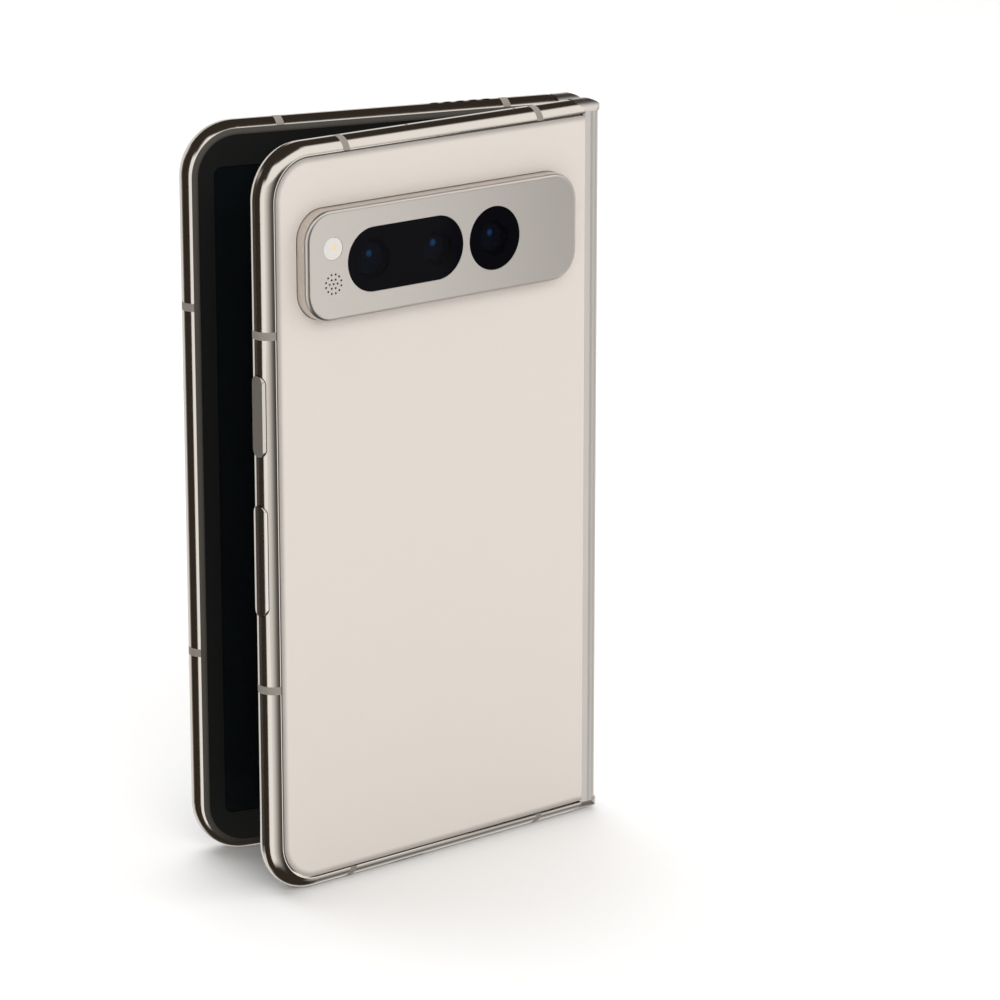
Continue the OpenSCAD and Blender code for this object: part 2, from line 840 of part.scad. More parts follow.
// One hinge arm at the bottom end, drawn in the rear half: leaf, neck, boss and gear
module hinge_arm(phase) {
    boss_l = boss_end_e - gear_e;
    difference() {
        union() {
            translate([spine_x - arm_reach, leaf_low, gear_e])
                cube([arm_reach - pivot_u - neck_in, arm_t, boss_l]);
            translate([0, 0, gear_e]) linear_extrude(boss_l) polygon([
                [pivot_x - neck_in, bezel_y], [pivot_x - neck_out, bezel_y], [pivot_x - neck_out, leaf_low],
                [pivot_x - boss_r * neck_low[0], pivot_y + boss_r * neck_low[1]],
                [pivot_x - boss_r * neck_high[0], pivot_y + boss_r * neck_high[1]],
                [pivot_x - neck_in, leaf_low - neck_dip]
            ]);
            translate([pivot_x, pivot_y, gear_e + gear_w]) cylinder(r = boss_r, h = boss_l - gear_w);
            translate([pivot_x, pivot_y, gear_e])
                linear_extrude(gear_w) gear_outline(arm_teeth, arm_pitch_r, phase);
        }
        translate([pivot_x, pivot_y, 0]) cylinder(r = pin_r + run_gap, h = 2 * bezel_end);
        for (i = [0, 1]) translate([screw_x(i), 0, screw_e])
            rotate([-90, 0, 0]) cylinder(r = screw_r + 0.03, h = half_t);
    }
}

function screw_x(i) = spine_x - arm_reach + (i + 0.5) * screw_pitch;

module rear_hinge_arms() {
    color(steel) both_ends() hinge_arm(90);
}

// Screws that hold an arm to the chassis plate
module arm_screws() {
    both_ends() for (i = [0, 1]) translate([screw_x(i), 0, screw_e]) rotate([-90, 0, 0])
        translate([0, 0, leaf_low]) cylinder(r = screw_r, h = arm_t);
}

module rear_arm_screws() {
    color(dark) arm_screws();
}

// Spine outline in plan, closed phone, grown by g
module spine_plan(g) {
    r = spine_r + g;
    x1 = spine_x + g;
    half = spine_half + g;
    translate([spine_x - spine_side, close_y - half]) square([spine_side - spine_r, 2 * half]);
    translate([spine_x - spine_r - eps, close_y - half + r]) square([r + eps, 2 * (half - r)]);
    for (s = [-1, 1]) translate([x1 - r, close_y + s * (half - r)]) intersection() {
        circle(r = r);
        translate([-eps, -r]) square([r + eps, 2 * r]);
    }
}

// Both halves' rail profile side by side, as an end view of the closed phone
module end_view() {
    for (y = [0, 2 * close_y]) translate([0, y]) rail_profile(cap_t + 1);
    translate([valley_d, close_y - 1]) square([cap_t + 1 - valley_d, 2]);
}

// End cap of the spine: two humps, filling the halves' round hollows
module spine_cap() {
    intersection() {
        linear_extrude(cap_t) difference() {
            union() {
                spine_plan(0);
                for (s = [-1, 1]) translate([pivot_x, close_y + s * pivot_v]) circle(r = cap_r);
            }
            translate([open_x, close_y - half_t - 1]) square([body_w - cap_u, 2 * half_t + 2]);
        }
        translate([spine_x + 1, 0, 0]) rotate([0, -90, 0]) linear_extrude(cap_u + 4) end_view();
    }
}

module spine_cover() {
    color(metal) at_spine() difference() {
        union() {
            translate([0, 0, cap_t]) linear_extrude(body_h - 2 * cap_t) difference() {
                spine_plan(0);
                spine_plan(-spine_wall);
                translate([spine_x - 3 * spine_side, close_y - spine_half + spine_wall])
                    square([3 * spine_side - spine_r, 2 * (spine_half - spine_wall)]);
            }
            both_ends() spine_cap();
        }
        translate([spine_x - spine_wall - 1, close_y - groove_half, display_z - gap_z])
            cube([1 + fold_groove, 2 * groove_half, body_h - 2 * (display_z - gap_z)]);
        both_ends() translate([spine_x - spine_end_r, close_y + half_t + 2, spine_end_r])
            rotate([90, 0, 0])
                linear_extrude(2 * half_t + 4)
                    difference() {
                        translate([0, -spine_end_r - 1]) square(spine_end_r + 1);
                        circle(r = spine_end_r);
                    }
    }
}

// Bracket at one end: end plate, floor, idler plate and inner plate
module spine_bracket() {
    x_out = spine_x - spine_wall;
    difference() {
        union() {
            bracket_plate(cap_t, bracket_t, boss_r + 0.2, pivot_x - 0.8);
            bracket_plate(boss_end_e + gap_z, bracket_end_e - boss_end_e - gap_z, boss_r, bezel_x + 0.15);
            translate([x_out - bracket_floor, close_y - pivot_v, cap_t])
                cube([bracket_floor, 2 * pivot_v, bracket_end_e - cap_t]);
            translate([pivot_x - 0.7, close_y - 1.3, idler_plate_e])
                cube([x_out - pivot_x + 0.7, 2.6, idler_plate_t]);
        }
        for (s = [-1, 1]) {
            translate([pivot_x, close_y + s * pivot_v, 0]) cylinder(r = pin_r + 0.01, h = 2 * bezel_end);
            translate([pivot_x, close_y + s * idler_v, 0]) cylinder(r = journal_r + run_gap, h = notch_end_e);
        }
    }
}

// Plate across the spine: a lug round each pin, joined beyond x_mid
module bracket_plate(e, t, r, x_mid) {
    translate([0, 0, e]) linear_extrude(t) {
        for (s = [-1, 1]) translate([pivot_x, close_y + s * pivot_v]) {
            circle(r = r);
            translate([0, -r]) square([pivot_u - spine_wall - 0.8, 2 * r]);
        }
        translate([x_mid, close_y - pivot_v]) square([spine_x - spine_wall - x_mid, 2 * pivot_v]);
    }
}

module spine_brackets() {
    color(steel) at_spine() both_ends() spine_bracket();
}

module hinge_pins() {
    color(steel) at_spine() both_ends() for (s = [-1, 1])
        translate([pivot_x, close_y + s * pivot_v, cap_t]) cylinder(r = pin_r, h = bracket_end_e - cap_t);
}

// Idler gear with a journal at each end, on the rear side for s = -1 and the front for s = 1.
// The phase puts it in mesh at the angle the phone stands at.
module idler(s) {
    phase = 90 + (s < 0 ? 180 / idler_teeth : 0) + s * open_angle / 2 * arm_teeth / idler_teeth;
    translate([pivot_x, close_y + s * idler_v, 0]) {
        translate([0, 0, gear_e]) linear_extrude(gear_w) gear_outline(idler_teeth, idler_pitch_r, phase);
        translate([0, 0, cap_t + 0.05]) cylinder(r = journal_r, h = idler_plate_e + idler_plate_t - cap_t - 0.05);
    }
}

module idler_gear_low_rear() {
    color(steel) at_spine() idler(-1);
}

module idler_gear_low_front() {
    color(steel) at_spine() idler(1);
}

module idler_gear_top_rear() {
    color(steel) at_spine() translate([0, 0, body_h]) mirror([0, 0, 1]) idler(-1);
}

module idler_gear_top_front() {
    color(steel) at_spine() translate([0, 0, body_h]) mirror([0, 0, 1]) idler(1);
}

// Flexible middle of the display: a narrow loop that dips into the groove in the spine's floor
module display_fold() {
    loop_r = groove_half - panel_gap;
    loop_x = spine_x - spine_wall + fold_groove - panel_gap - loop_r;
    end_x = fold_x + gap_z;
    color(black) at_spine() translate([0, 0, display_z]) linear_extrude(body_h - 2 * display_z) difference() {
        union() {
            translate([loop_x, close_y]) circle(r = loop_r);
            translate([end_x, close_y - loop_r]) square([loop_x - end_x, 2 * loop_r]);
        }
        translate([loop_x, close_y]) circle(r = loop_r - fold_t);
        translate([end_x - 1, close_y - loop_r + fold_t])
            square([loop_x - end_x + 1, 2 * (loop_r - fold_t)]);
        translate([end_x - 2 * loop_r, close_y - loop_r]) square(2 * loop_r);
    }
}

module front_frame() {
    color(metal) at_front() difference() {
        chassis();
        translate([0, 0, body_h]) mirror([0, 0, 1]) for (i = [0 : slot_n - 1])
            end_prism(slot_w, slot_h, open_x + top_slots_off + i * slot_pitch, 0, -1, rail_w + 1);
        end_prism(tray_w + 0.16, tray_h + 0.16, tray_x, 0, -1, rail_w + 1);
        translate([open_x + low_slots_off, 0, -1]) cylinder(r = mic_r, h = rail_w + 2);
    }
}

module front_antenna_bands() {
    color(band_grey) at_front() antenna_bands();
}

module cover_glass() {
    color(black) at_front() difference() {
        half_plate(glass_in, seam_x, out_y, out_y + glass_t);
        swing_hollow(hollow_r);
        slab(out_y - 1, in_y) translate([mid_x, ear_z]) stadium(ear_w, 0.9);
    }
}

module cover_display() {
    color(dark) at_front() slab(floor_y, floor_y + cover_display_t) difference() {
        half_outline(cover_in, seam_x - 2.6, cover_in, body_h - cover_in, corner_r - cover_in);
        translate([mid_x, cover_cam_z]) circle(r = 2);
    }
}

module cover_camera() {
    color(dark) at_front() translate([mid_x, 0, cover_cam_z]) {
        rotate([-90, 0, 0]) translate([0, 0, floor_y]) cylinder(r = 1.8, h = 1.2);
        translate([-3, floor_y + 1.1, -3]) cube([6, shelf_y - floor_y - 1.1, 6]);
    }
}

module earpiece() {
    color(dark) at_front() slab(out_y + 0.1, floor_y) translate([mid_x, ear_z]) stadium(ear_w - 0.1, 0.8);
}

module front_battery() {
    at_front() {
        y0 = floor_y + cover_display_t + 0.05;
        color([0.16, 0.16, 0.17])
            translate([battery_x, y0, battery_z]) cube([battery_w, plate_y - 0.05 - y0, battery_h]);
    }
}

module sub_board() {
    color(board_green) at_front() slab(board_y, shelf_y)
        translate([board_x, board_low]) square([board_w, (body_h - rail_w - board_low) * 0.6]);
}

module top_speaker() {
    color(dark) at_front() translate([0, 0, body_h]) mirror([0, 0, 1])
        speaker_box(open_x + top_slots_off, floor_y + cover_display_t + 0.1, speaker_d - 2);
}

// Card tray: a round-ended door and a frame for two cards
module card_tray() {
    plate = 0.8;
    color(metal) at_front() difference() {
        union() {
            end_prism(tray_w, tray_h, tray_x, 0, 0.05, rail_w - 0.2);
            translate([tray_x - tray_w / 2 + 0.4, -plate / 2, rail_w - 0.3])
                cube([tray_w - 0.8, plate, tray_l - rail_w + 0.3]);
        }
        translate([tray_x - tray_w / 2 + tray_rim, -1, rail_w + 1]) cube([card_w, 2, card_l]);
        translate([tray_x + tray_w / 2 - tray_rim, 0, -1]) cylinder(r = 0.4, h = 3);
    }
}

module front_display() {
    color(black) at_front() display_sheet(display_y, bezel_y);
}

module front_support_sheet() {
    color(steel) at_front() display_sheet(support_y, display_y);
}

module front_bezel() {
    color(black) at_front() bezel();
}

module front_hinge_arms() {
    color(steel) at_front() both_ends() hinge_arm(90 + 180 / arm_teeth);
}

module front_arm_screws() {
    color(dark) at_front() arm_screws();
}

rear_frame();
rear_antenna_bands();
back_glass();
camera_bar();
pill_window();
round_window();
main_camera();
wide_camera();
tele_camera();
flash_lens();
flash_led();
power_button();
volume_rocker();
power_switch();
volume_switches();
rear_battery();
main_board();
board_shields();
charging_port();
bottom_speaker();
vibration_motor();
charging_coil();
rear_display();
rear_support_sheet();
rear_bezel();
inner_camera();
rear_hinge_arms();
rear_arm_screws();
spine_cover();
spine_brackets();
hinge_pins();
idler_gear_top_rear();
idler_gear_top_front();
idler_gear_low_rear();
idler_gear_low_front();
display_fold();
front_frame();
front_antenna_bands();
cover_glass();
cover_display();
cover_camera();
earpiece();
front_battery();
sub_board();
top_speaker();
card_tray();
front_display();
front_support_sheet();
front_bezel();
front_hinge_arms();
front_arm_screws();
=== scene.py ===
import json
import math

import bmesh
import bpy
from mathutils import Matrix, Vector


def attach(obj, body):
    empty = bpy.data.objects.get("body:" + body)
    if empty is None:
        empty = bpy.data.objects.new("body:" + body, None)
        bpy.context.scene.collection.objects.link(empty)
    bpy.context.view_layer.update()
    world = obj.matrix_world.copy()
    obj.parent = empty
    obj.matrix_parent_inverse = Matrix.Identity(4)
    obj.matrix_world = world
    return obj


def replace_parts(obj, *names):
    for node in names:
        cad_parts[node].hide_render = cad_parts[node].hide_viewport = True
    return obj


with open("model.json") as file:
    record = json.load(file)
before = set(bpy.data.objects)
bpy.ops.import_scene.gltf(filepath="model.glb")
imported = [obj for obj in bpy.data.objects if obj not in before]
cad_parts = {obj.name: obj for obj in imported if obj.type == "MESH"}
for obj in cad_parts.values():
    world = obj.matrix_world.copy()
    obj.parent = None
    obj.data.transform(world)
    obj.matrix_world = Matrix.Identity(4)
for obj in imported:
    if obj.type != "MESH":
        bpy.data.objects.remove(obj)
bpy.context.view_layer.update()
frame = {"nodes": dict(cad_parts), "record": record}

MM = 0.001

# The phone's own measures, in metres, in the row frame
BODY_W, BODY_H, HALF_T = 0.0795, 0.1397, 0.0058
OPEN_X, SPINE_X = -BODY_W / 2, BODY_W / 2
CLOSE_Y = HALF_T / 2 + 0.25 * MM
OPEN_ANGLE = math.radians(16)
FOLD_INSET, FOLD_HALF = 0.15 * MM, 1.4 * MM
FOLD_GAP, FOLD_END = 0.3 * MM, 7.6 * MM
FOLD_RAISE = 0.18 * MM  # keeps the strips clear of the spine's groove when closed
DISPLAY_TOP, DISPLAY_LOW = 2.65 * MM, 2.25 * MM
PIVOT_X, PIVOT_REAR = SPINE_X - 3.025 * MM, CLOSE_Y - 2.875 * MM
PIVOT_FRONT = CLOSE_Y + 2.875 * MM
CORNER_R, SEAM_U = 10 * MM, 4.9 * MM
RAIL_R, RAIL_MIDDLE = 3.0 * MM, 2.97 * MM
SEAL_OUT, SEAL_IN, SEAL_DEEP = 0.05 * MM, 0.03 * MM, 0.1 * MM
SEAL_STEPS = (2.28 * MM, 2.35 * MM, 2.37 * MM)
BAR_FACE = -HALF_T / 2 - 2.85 * MM
BAR_Z = BODY_H - 22.1 * MM
LENS_TOP = BAR_FACE + 0.85 * MM
BAR_ROOT, BARREL_FOOT = -1.5 * MM, -1.4 * MM
BARREL_CHAMFER = 0.12 * MM
DOME_RIM, DOME_BACK, DOME_RISE = 0.16 * MM, 0.60 * MM, 0.12
CHASSIS_Y = 1.45 * MM
WINDOW = 11.8 * MM
ROUND_X = OPEN_X + 50.35 * MM
PILL_X = OPEN_X + 29.65 * MM
PILL_LENS = 7.35 * MM
FLASH_X, FLASH_Z = OPEN_X + 13.15 * MM, BAR_Z + 3.1 * MM
COIL_X, COIL_Z = -5 * MM, 55 * MM

# Baffle steps of a barrel: how far outside the lens, and how far behind the barrel's top, in millimetres
BAFFLES = ((0.75, 0.0), (0.70, 0.16), (0.45, 0.16), (0.40, 0.34), (0.15, 0.34), (0.10, 0.50))

# name: (x of its axis, half of its base, barrel radius, lens radius, colour of the painted glint on its
# lens)
CAMERAS = {
    "main_camera": (PILL_X - PILL_LENS, 0.45 * WINDOW, 0.41 * WINDOW, 0.25 * WINDOW,
                    (0.03, 0.15, 0.38, 1)),
    "wide_camera": (PILL_X + PILL_LENS, 0.40 * WINDOW, 0.38 * WINDOW, 0.19 * WINDOW,
                    (0.03, 0.17, 0.42, 1)),
    "tele_camera": (ROUND_X, 0.44 * WINDOW, 0.41 * WINDOW, 0.21 * WINDOW, (0.03, 0.14, 0.40, 1)),
}


class Value:
    """A socket of a node tree, so that shader maths reads as plain sums."""

    def __init__(self, shading, socket):
        self.shading, self.socket = shading, socket

    def __add__(self, other):
        return self.shading.sum_of("ADD", self, other)

    def __sub__(self, other):
        return self.shading.sum_of("SUBTRACT", self, other)

    def __rsub__(self, other):
        return self.shading.sum_of("SUBTRACT", other, self)

    def __mul__(self, other):
        return self.shading.sum_of("MULTIPLY", self, other)

    def __pow__(self, other):
        return self.shading.sum_of("POWER", self, other)

    def __gt__(self, other):
        return self.shading.sum_of("GREATER_THAN", self, other)

    def __abs__(self):
        return self.shading.sum_of("ABSOLUTE", self)

    def sin(self):
        return self.shading.sum_of("SINE", self)

    def most(self, other):
        return self.shading.sum_of("MAXIMUM", self, other)

    def least(self, other):
        return self.shading.sum_of("MINIMUM", self, other)

    def over(self, low, high):
        """0 below low, 1 above high, smooth between."""
        return self.shading.node("ShaderNodeMapRange", {"interpolation_type": "SMOOTHSTEP"},
                                 {"Value": self, "From Min": low, "From Max": high})

    def between(self, low, high, soft):
        """1 between low and high, falling to 0 over a soft edge."""
        return self.over(low - soft, low) * (1 - self.over(high, high + soft))


class Shading:
    """A node tree that reads one set of coordinates."""

    def __init__(self, owner, coordinates):
        owner.use_nodes = True
        self.tree = owner.node_tree
        self.where = self.node("ShaderNodeTexCoord", out=coordinates)
        split = self.tree.nodes.new("ShaderNodeSeparateXYZ")
        self.tree.links.new(self.where.socket, split.inputs[0])
        self.x, self.y, self.z = (Value(self, s) for s in split.outputs)

    def node(self, kind, settings=None, sockets=None, out=0):
        made = self.tree.nodes.new(kind)
        for key, value in (settings or {}).items():
            setattr(made, key, value)
        for key, value in (sockets or {}).items():
            if isinstance(value, Value):
                self.tree.links.new(value.socket, made.inputs[key])
            else:
                made.inputs[key].default_value = value
        return Value(self, made.outputs[out])

    def stretched(self, x=1.0, y=1.0, z=1.0):
        """Object coordinates, scaled on each axis."""
        return self.node("ShaderNodeMapping", sockets={"Vector": self.where, "Scale": (x, y, z)})

    def sum_of(self, operation, a, b=0.0):
        return self.node("ShaderNodeMath", {"operation": operation}, {0: a, 1: b})

    def noise(self, scale, detail=3.0, rough=0.5, vector=None):
        return self.node("ShaderNodeTexNoise", sockets={
            "Vector": vector or self.where, "Scale": scale, "Detail": detail, "Roughness": rough})

    def blend(self, factor, a, b):
        return self.node("ShaderNodeMix", {"data_type": "RGBA"}, {0: factor, 6: a, 7: b}, out=2)

    def from_axis(self, x, z):
        """Distance from a line along Y through (x, z), in millimetres."""
        dx, dz = (self.x - x) * 1000, (self.z - z) * 1000
        return (dx * dx + dz * dz) ** 0.5


class Finish(Shading):
    """One material of the phone, built from nodes."""

    def __init__(self, name, **constants):
        self.material = bpy.data.materials.new(name)
        super().__init__(self.material, "Object")
        self.shader = self.tree.nodes["Principled BSDF"]
        for key, value in constants.items():
            self.shader.inputs[key.replace("_", " ")].default_value = value

    def feed(self, **values):
        for key, value in values.items():
            self.tree.links.new(value.socket, self.shader.inputs[key.replace("_", " ")])
        return self

    def bump(self, height, strength=0.2, distance=0.02 * MM):
        return self.feed(Normal=self.node("ShaderNodeBump", sockets={
            "Height": height, "Strength": strength, "Distance": distance}))


def colour(r, g, b):
    return (r, g, b, 1.0)


def rail_finish(name, base, dark, rough):
    """Polished metal: faint lengthwise polishing lines, hand-soft roughness."""
    f = Finish(name, Metallic=1.0)
    lines = f.noise(900, 2, 0.6, f.stretched(1, 1, 0.02))
    cloud = f.noise(45, 3)
    f.feed(Base_Color=f.blend(cloud, dark, base), Roughness=(lines * 0.05 + cloud * 0.06 + rough))
    return f.bump(lines, 0.03).material


def satin_finish(name, base, dark):
    """Bead-blasted and anodised metal."""
    f = Finish(name, Metallic=1.0)
    grain = f.noise(5200, 2, 0.7)
    cloud = f.noise(30, 3)
    f.feed(Base_Color=f.blend(cloud, dark, base), Roughness=grain * 0.10 + cloud * 0.05 + 0.26)
    return f.bump(grain, 0.05, 0.01 * MM).material


def porcelain_finish(low, high):
    """Coated glass with a matte etched face; painted shade darkens its colour along the rail, where its
    edge rolls over.
    """
    f = Finish("porcelain_glass", Coat_Roughness=0.32, Specular_IOR_Level=0.4)
    cloud = f.noise(14, 3)
    etch = f.noise(6500, 2, 0.8)
    corner_r = CORNER_R - (low.x - OPEN_X)
    side = (low.x + corner_r - f.x) * 1000
    ends = (abs(f.z - (low.z + high.z) / 2) - (high.z - low.z) / 2 + corner_r) * 1000
    outward = (side.most(0) ** 2 + ends.most(0) ** 2) ** 0.5 + side.most(ends).least(0)
    # Painted shade: the glaze darkens to about half, towards near-black, within 1.3 mm of the glass's
    # outline, where the rounded edge turns from the light.
    painted_edge_shade = (corner_r * 1000 - outward).over(0.1, 1.3)
    glaze = f.blend(cloud, colour(0.580, 0.532, 0.491), colour(0.596, 0.547, 0.506))
    f.feed(Base_Color=f.blend(painted_edge_shade * 0.48 + 0.52, colour(0.02, 0.018, 0.016), glaze),
           Roughness=etch * 0.08 + cloud * 0.06 + 0.40, Coat_Weight=cloud * 0.06 + 0.10)
    return f.bump(etch, 0.03, 0.01 * MM).material


def moulded_finish(name, light, dark, rough):
    """Moulded plastic or elastomer with a fine grain."""
    f = Finish(name)
    grain = f.noise(2600, 3, 0.65)
    cloud = f.noise(60, 2)
    f.feed(Base_Color=f.blend(cloud, dark, light), Roughness=grain * 0.12 + rough)
    return f.bump(grain, 0.12).material


def black_glass_finish(name, tint, lenses=()):
    """Polished glass, inked black from behind, with clear circles over the lenses."""
    f = Finish(name, IOR=1.5, Specular_IOR_Level=0.03 if lenses else 0.5)
    smear = f.noise(38, 4, 0.6, f.stretched(1, 1, 0.45))
    f.feed(Base_Color=f.blend(smear, tint, colour(tint[0] * 1.5, tint[1] * 1.5, tint[2] * 1.5)),
           Roughness=smear * 0.05 + 0.03)
    if lenses:
        ink = None
        for x, radius in lenses:
            ring = f.from_axis(x, BAR_Z).over(radius - 0.05, radius + 0.05)
            ink = ring if ink is None else ink * ring
        f.feed(Alpha=ink * 0.26 + 0.74)
    return f.material


def screen_finish(name, rest_colour, area_colour):
    """Display film: black, with the panel showing very faintly through the polarizer."""
    f = Finish(name, IOR=1.46, Coat_Roughness=0.05)
    cells = f.noise(120, 2, 0.5)
    film = f.noise(24, 3)
    f.feed(Base_Color=f.blend(cells, rest_colour, area_colour), Roughness=film * 0.08 + 0.12,
           Coat_Weight=film * 0.2 + 0.4)
    return f.material


def steel_finish(name, light, dark, rough, across=(1, 1, 1)):
    """Ground or blackened steel, with fine tool lines."""
    f = Finish(name, Metallic=1.0)
    lines = f.noise(2200, 2, 0.6, f.stretched(*across))
    f.feed(Base_Color=f.blend(lines, dark, light), Roughness=lines * 0.15 + rough)
    return f.bump(lines, 0.08, 0.01 * MM).material


def lens_finish(name, glint_colour, x):
    """Coated front element: nearly black, with a painted glint off its centre that glows in the glint
    colour.
    """
    f = Finish(name, IOR=1.7, Coat_Weight=1.0, Coat_Roughness=0.02)
    painted_glint = 1 - f.from_axis(x - 0.35 * MM, BAR_Z + 0.9 * MM).over(0.0, 0.9)
    haze = f.noise(300, 2)
    # Painted glint: the lens's colour and glow turn to the glint colour round a spot off its centre.
    tint = f.blend(painted_glint, colour(0.004, 0.006, 0.012), glint_colour)
    f.feed(Base_Color=tint, Emission_Color=tint, Roughness=haze * 0.04 + 0.02)
    # The painted glint glows, though the lens is no lamp.
    f.shader.inputs["Emission Strength"].default_value = 4.0
    return f.material


def flash_finish():
    """Frosted flash lens with the yellow chip behind its middle."""
    f = Finish("flash_diffuser", IOR=1.45)
    away = f.from_axis(FLASH_X + 0.25 * MM, FLASH_Z + 0.1 * MM)
    rings = f.noise(900, 2)
    spot = 1 - away.over(0.15, 0.6)
    f.feed(Base_Color=f.blend(spot, colour(0.58, 0.56, 0.525), colour(0.72, 0.55, 0.24)),
           Roughness=rings * 0.1 + 0.12)
    return f.bump((away * 22).sin(), 0.12, 0.02 * MM).material


def board_finish():
    """Solder mask with rows of small parts and tracks under it."""
    f = Finish("solder_mask")
    parts = f.node("ShaderNodeTexBrick", {"offset": 0.5, "squash": 1.0}, {
        "Vector": f.node("ShaderNodeMapping", sockets={"Vector": f.where, "Rotation": (math.pi / 2, 0, 0)}),
        "Color1": colour(0.01, 0.09, 0.045), "Color2": colour(0.03, 0.03, 0.03),
        "Mortar": colour(0.02, 0.14, 0.07), "Scale": 330.0, "Mortar Size": 0.035,
        "Brick Width": 0.6, "Row Height": 0.3})
    tracks = (f.x * 9000 + f.z * 2500).sin() > 0.4
    f.feed(Base_Color=f.blend(tracks * 0.25, parts, colour(0.05, 0.22, 0.10)),
           Roughness=f.noise(500) * 0.2 + 0.35)
    return f.material


def winding_finish():
    """Flat coil of enamelled wire."""
    f = Finish("coil_winding", Metallic=1.0)
    turns = (f.from_axis(COIL_X, COIL_Z) * 9.0).sin()
    f.feed(Base_Color=f.blend(turns.over(-1, 1), colour(0.25, 0.10, 0.04), colour(0.72, 0.36, 0.18)),
           Roughness=turns * 0.05 + 0.32)
    return f.bump(turns, 0.3).material


def pouch_finish():
    """Battery pouch film, slightly wrinkled."""
    f = Finish("pouch_film", Metallic=0.6)
    folds = f.noise(160, 4, 0.6, f.stretched(1, 1, 0.3))
    f.feed(Base_Color=f.blend(folds, colour(0.05, 0.05, 0.055), colour(0.12, 0.12, 0.125)),
           Roughness=folds * 0.2 + 0.35)
    return f.bump(folds, 0.35, 0.1 * MM).material


RAIL = rail_finish("polished_rail", colour(0.80, 0.745, 0.685), colour(0.75, 0.695, 0.635), 0.07)
KEYS = rail_finish("satin_key", colour(0.74, 0.69, 0.63), colour(0.69, 0.64, 0.58), 0.20)
SATIN = satin_finish("satin_bar", colour(0.76, 0.715, 0.67), colour(0.73, 0.685, 0.64))
SPINE = satin_finish("satin_spine", colour(0.80, 0.755, 0.715), colour(0.77, 0.725, 0.685))
back_box = frame["nodes"]["back_glass"].bound_box
PORCELAIN = porcelain_finish(Vector(back_box[0]), Vector(back_box[6]))
BAND = moulded_finish("antenna_band", colour(0.25, 0.225, 0.198), colour(0.22, 0.198, 0.174), 0.5)
BEZEL = moulded_finish("bezel_rubber", colour(0.004, 0.004, 0.004), colour(0.003, 0.003, 0.003), 0.5)
RIM = moulded_finish("rim_seal", colour(0.052, 0.046, 0.038), colour(0.040, 0.035, 0.029), 0.42)
BLACK_PLASTIC = moulded_finish("black_plastic", colour(0.03, 0.03, 0.032), colour(0.02, 0.02, 0.02), 0.4)
SCREEN = screen_finish("folding_display", colour(0.003, 0.004, 0.005), colour(0.005, 0.007, 0.008))
COVER = black_glass_finish("cover_glass", colour(0.004, 0.005, 0.006))
PILL_GLASS = black_glass_finish("pill_glass", colour(0.002, 0.002, 0.003), [
    (CAMERAS["main_camera"][0], 3.6), (CAMERAS["wide_camera"][0], 3.1)])
ROUND_GLASS = black_glass_finish("round_glass", colour(0.002, 0.002, 0.003), [(ROUND_X, 3.3)])
STEEL = steel_finish("ground_steel", colour(0.62, 0.62, 0.63), colour(0.48, 0.48, 0.49), 0.22, (0.05, 1, 1))
BLACK_STEEL = steel_finish("blackened_steel", colour(0.08, 0.08, 0.085), colour(0.05, 0.05, 0.055), 0.3)
BARREL = steel_finish("black_barrel", colour(0.020, 0.020, 0.022), colour(0.012, 0.012, 0.013), 0.35)
FLASH = flash_finish()
CHIP = moulded_finish("phosphor_chip", colour(0.90, 0.66, 0.16), colour(0.82, 0.56, 0.12), 0.5)
BOARD = board_finish()
WINDING = winding_finish()
POUCH = pouch_finish()

BY_SLOT = {
    "rail_metal": RAIL, "bar_metal": SATIN, "band_plastic": BAND, "porcelain": PORCELAIN,
    "black_glass": COVER, "lens": BARREL, "flash": FLASH, "led": CHIP, "screen": SCREEN, "bezel": BEZEL,
    "steel": STEEL, "dark_steel": BLACK_STEEL, "dark_plastic": BLACK_PLASTIC, "battery": POUCH,
    "board": BOARD, "copper": WINDING, "display_glass": SCREEN,
}
BY_NODE = {
    "pill_window": PILL_GLASS, "round_window": ROUND_GLASS,
    "power_button": KEYS, "volume_rocker": RAIL, "spine_cover": SPINE,
}


def dress(obj, material):
    obj.data.materials.clear()
    obj.data.materials.append(material)


for part in frame["record"]["subparts"]:
    node = frame["nodes"][part["node"]]
    dress(node, BY_NODE.get(part["node"], BY_SLOT[part["material_slot"]]))


# New pieces

def piece(name, bm, material, body):
    bmesh.ops.remove_doubles(bm, verts=bm.verts, dist=1e-7)
    bmesh.ops.recalc_face_normals(bm, faces=bm.faces)
    mesh = bpy.data.meshes.new(name)
    bm.to_mesh(mesh)
    bm.free()
    obj = bpy.data.objects.new(name, mesh)
    bpy.context.scene.collection.objects.link(obj)
    dress(obj, material)
    mesh.shade_smooth()
    mesh.set_sharp_from_angle(angle=math.radians(32))
    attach(obj, body)
    return obj


def spun(profile, x, z, steps=96):
    """Turned piece: (radius, y) points swept round the line along Y through (x, z)."""
    bm = bmesh.new()
    verts = [bm.verts.new((x + r, y, z)) for r, y in profile]
    edges = [bm.edges.new(pair) for pair in zip(verts, verts[1:])]
    bmesh.ops.spin(bm, geom=verts + edges, cent=(x, 0, z), axis=(0, 1, 0),
                   angle=math.tau, steps=steps, use_merge=True)
    return bm


def block(low, high, bevel=0.0, segments=2):
    bm = bmesh.new()
    size = Vector(high) - Vector(low)
    bmesh.ops.create_cube(bm, size=1.0, matrix=Matrix.Translation((Vector(low) + Vector(high)) / 2)
                          @ Matrix.Diagonal((*size, 1.0)))
    if bevel:
        bmesh.ops.bevel(bm, geom=list(bm.edges), offset=bevel, segments=segments, affect="EDGES",
                        profile=0.5, material=-1)
    return bm


def joined(first, *others):
    for other in others:
        mesh = bpy.data.meshes.new("part")
        other.to_mesh(mesh)
        other.free()
        first.from_mesh(mesh)
        bpy.data.meshes.remove(mesh)
    return first


